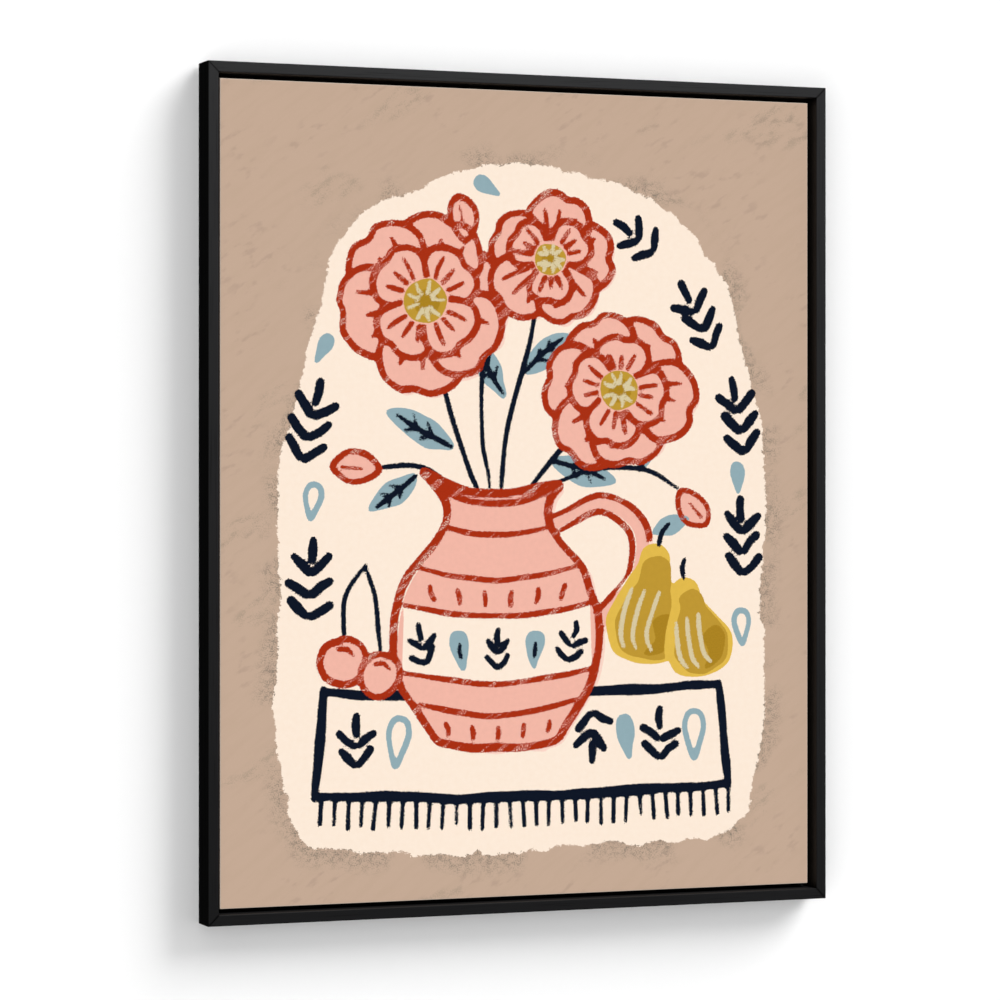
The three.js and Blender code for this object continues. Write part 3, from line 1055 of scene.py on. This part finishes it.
def small_bar(bm, size, at, angle, back, ease):
    """A bar on the surface at depth back, all in millimetres from the picture's middle."""
    lies = Matrix.Translation((at[0], back + size[1] / 2 + CLEAR, at[1] + middle.z / MM))
    turned = Matrix.Rotation(math.radians(-angle), 4, "Y")
    matrix = Matrix.Scale(MM, 4) @ lies @ turned @ Matrix.Diagonal((*size, 1))
    verts = bmesh.ops.create_cube(bm, size=1.0, matrix=matrix)["verts"]
    edges = list({edge for vert in verts for edge in vert.link_edges})
    bmesh.ops.bevel(
        bm, geom=edges, offset=ease * MM, segments=2, profile=0.5, affect="EDGES", material=-1
    )


def corners(wide, high, inset):
    """The four corners, and the angle from each towards the middle."""
    for right, top in ((1, 1), (-1, 1), (-1, -1), (1, -1)):
        at = (right * (wide - inset), top * (high - inset))
        yield at, math.degrees(math.atan2(-top, -right))


# %% Staples
STAPLE = (10.6, 0.5, 1.3)  # length, thickness and width
STAPLE_INSET = 22.5  # from the cloth's edge
STAPLE_STEP = 45
STAPLE_CLEAR = 42  # from the cloth's corners


def staples():
    bm = bmesh.new()
    for angle, half, reach in ((0, WIDE, HIGH), (90, HIGH, WIDE), (180, WIDE, HIGH), (270, HIGH, WIDE)):
        end = half / 2 - STAPLE_CLEAR
        for run in np.linspace(-end, end, round(2 * end / STAPLE_STEP) + 1):
            out = reach / 2 - STAPLE_INSET + chance.normal(0, 0.5)
            at = placed([(run + chance.normal(0, 2), out)], (0, 0), angle)[0]
            small_bar(bm, STAPLE, at, angle + chance.normal(0, 6), BACK, 0.2)
    return bm


# %% Corner pleats and corner nails
PLEAT = (9, 0.5, 5)
PLEAT_INSET = 23.6
NAIL_LEG = (5.5, 0.12, 0.7)
NAIL_INSETS = (4.5, 22)  # from the moulding's edges
NAIL_SPREAD = 32


def pleats():
    bm = bmesh.new()
    for at, angle in corners(WIDE / 2, HIGH / 2, PLEAT_INSET):
        small_bar(bm, PLEAT, at, angle, BACK, 0.2)
    return bm


def corner_nails():
    bm = bmesh.new()
    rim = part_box("frame_right")[1].x / MM, (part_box("frame_top")[1].z - middle.z) / MM
    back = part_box("frame_top")[1].y / MM
    for inset in NAIL_INSETS:
        for at, angle in corners(*rim, inset):
            for side in (-1, 1):
                lean = angle + side * NAIL_SPREAD
                middle_of_leg = placed([(NAIL_LEG[0] / 2, side * NAIL_LEG[2] / 2)], at, lean)[0]
                small_bar(bm, NAIL_LEG, middle_of_leg, lean, back, 0.05)
    return bm


# %% Give the small bars a finish and a place
def primed_cotton():
    primer = new_finish("primed_cotton")
    primer.coat(Base_Color=swatch(230, 228, 221), Roughness=0.85, Specular_IOR_Level=0.2)
    primer.relief(primer.grain(primer.place(), (0.0007, 0.0007, 0.0007)), 0.0001)
    return primer


made_pieces = [canvas]
for name, bm, finish, slot in (
    ("staples", staples(), steel, "zinc_steel"),
    ("corner_pleats", pleats(), primed_cotton(), "printed_canvas"),
    ("corner_nails", corner_nails(), steel, "zinc_steel"),
):
    soften(bm)
    piece = finished(name, bm, finish)
    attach(piece, "root")
    made_pieces.append(piece)
    print(f"{name}: {len(piece.data.polygons)} faces")

FLAT[0] * MM
FLAT[1] * MM

# %% [markdown]
# ## Wall and floor
#
# A picture is judged on the wall that it hangs on, because its shadow tells how far it stands off.
# The wall would hide the back from a camera behind it, so it is made one-sided: its finish is
# white paint from the front and clear from behind. Wall and floor are seen by the camera alone, so
# that neither throws its own light on the black moulding.

# %% Wall and floor
WALL_GAP = 0.0002
FLOOR = -0.97
WALL_HALF = 1.55
WALL_TOP = 0.8
FLOOR_WIDE = 60
WHITE = (0.95, 0.95, 0.95)
OTHER_RAYS = ("diffuse", "glossy", "transmission", "volume_scatter", "shadow")


def plane(name, wide, deep, place, turn, finish):
    bm = bmesh.new()
    bmesh.ops.create_grid(bm, x_segments=1, y_segments=1, size=0.5)
    bmesh.ops.scale(bm, vec=(wide, deep, 1), verts=bm.verts)
    bmesh.ops.rotate(bm, matrix=Matrix.Rotation(turn, 3, "X"), verts=bm.verts)
    bmesh.ops.translate(bm, vec=place, verts=bm.verts)
    made = finished(name, bm, finish)
    return made


def one_sided_white():
    paint = new_finish("wall_paint")
    front = paint.add("BsdfDiffuse", {}, {"Color": WHITE})
    clear = paint.add("BsdfTransparent", {}, {"Color": (1, 1, 1)})
    behind = paint.add("NewGeometry", {}, {}, "Backfacing")
    paint.show(paint.add("MixShader", {}, {0: behind, 1: front, 2: clear}))
    return paint


wall_place = (0, WALL_GAP, (WALL_TOP + FLOOR) / 2)
wall = plane("wall", 2 * WALL_HALF, WALL_TOP - FLOOR, wall_place, math.pi / 2, one_sided_white())
floor_paint = new_finish("floor_paint")
floor_paint.coat(Base_Color=(0.86, 0.86, 0.85), Roughness=0.9, Specular_IOR_Level=0.1)
floor = plane("floor", FLOOR_WIDE, FLOOR_WIDE, (0, 0, FLOOR), 0, floor_paint)
for piece in (wall, floor):
    for ray in OTHER_RAYS:
        setattr(piece, "visible_" + ray, False)
print("wall and floor in place")

# %% [markdown]
# ## Light
#
# A photograph like this one is lit in parts: the wall, the cloth and the moulding each have lamps
# of their own, because light that is good for one spoils another. The wall wants wide lamps, which
# give the picture a soft shadow, deepest at the left and below. The cloth wants one narrow lamp
# almost straight in front, or the moulding would shade its edges. The black moulding shows its
# shape by a lamp above on the right, which fades downwards. Light linking keeps them apart.
#
# Far lamps are suns, which light evenly. `brightness` is that of a white sheet facing the lamp.

# %% Lamps for a few pieces each
scene.view_settings.view_transform = "Standard"
members = [nodes[name] for name in nodes if name.startswith("frame_")]
others = [piece for name, piece in nodes.items() if not name.startswith("frame_")] + made_pieces


def lamp_for(pieces, name, kind, turn):
    lamp = bpy.data.lights.new(name, kind)
    source = bpy.data.objects.new(name, lamp)
    source.rotation_euler = Vector(turn).to_track_quat("Z", "Y").to_euler()
    lit = bpy.data.collections.new("lit_by_" + name)
    for piece in pieces:
        lit.objects.link(piece)
    source.light_linking.receiver_collection = lit
    scene.collection.objects.link(source)
    return source


def far_lamp(pieces, name, towards, spread, brightness):
    """Even light from one direction, spread degrees wide."""
    source = lamp_for(pieces, name, "SUN", towards)
    source.data.angle = math.radians(spread)
    source.data.energy = brightness * math.pi


def near_lamp(pieces, name, place, size, brightness):
    """A square lamp aimed at the picture's middle, where the brightness is met."""
    source = lamp_for(pieces, name, "AREA", Vector(place) - middle)
    source.location = place
    source.data.size = size
    source.data.energy = brightness * math.pi**2 * (Vector(place) - middle).length_squared


far_lamp([wall], "wall_soft", (0.4, -1, 1.0), 130, 0.498)
far_lamp([wall], "wall_key", (1.6, -1, 1.8), 40, 1.024)
far_lamp([wall], "wall_low", (-1.2, -1, -0.6), 80, 0.564)
far_lamp([floor], "floor_top", (0, 0, 1), 60, 1.03)
far_lamp(others, "cloth_front", (0.15, -1, 0.16), 12, 1.03)
near_lamp(members, "moulding_top", (0.5, -1.7, 0.9), 0.5, 0.98)
far_lamp(members + others, "back_right", (0.75, 0.6, 0.5), 40, 0.62)
far_lamp(others, "back_left", (-0.8, 0.45, 0.55), 30, 0.3)
far_lamp(others, "back_wide", (0, 1, 0.3), 140, 0.4)

# %% The studio round the picture
GLOW = 0.03
GLOW_RIGHT = 0.25
RIGHT_FROM, RIGHT_FULL = 0.55, 0.8  # how far round to the right it rises
BACKDROP = 0.9

scene.world = bpy.data.worlds.new("studio")
studio = Finish(scene.world)
direction = studio.add("TexCoord", {}, {}, "Generated")
right = studio.add("SeparateXYZ", {}, {0: direction})
seen = studio.add("LightPath", {}, {}, "Is Camera Ray")
glow = GLOW + GLOW_RIGHT * studio.rise(right, RIGHT_FROM, RIGHT_FULL)
studio.coat(Color=(1, 1, 1), Strength=seen * BACKDROP + (1 - seen) * glow)
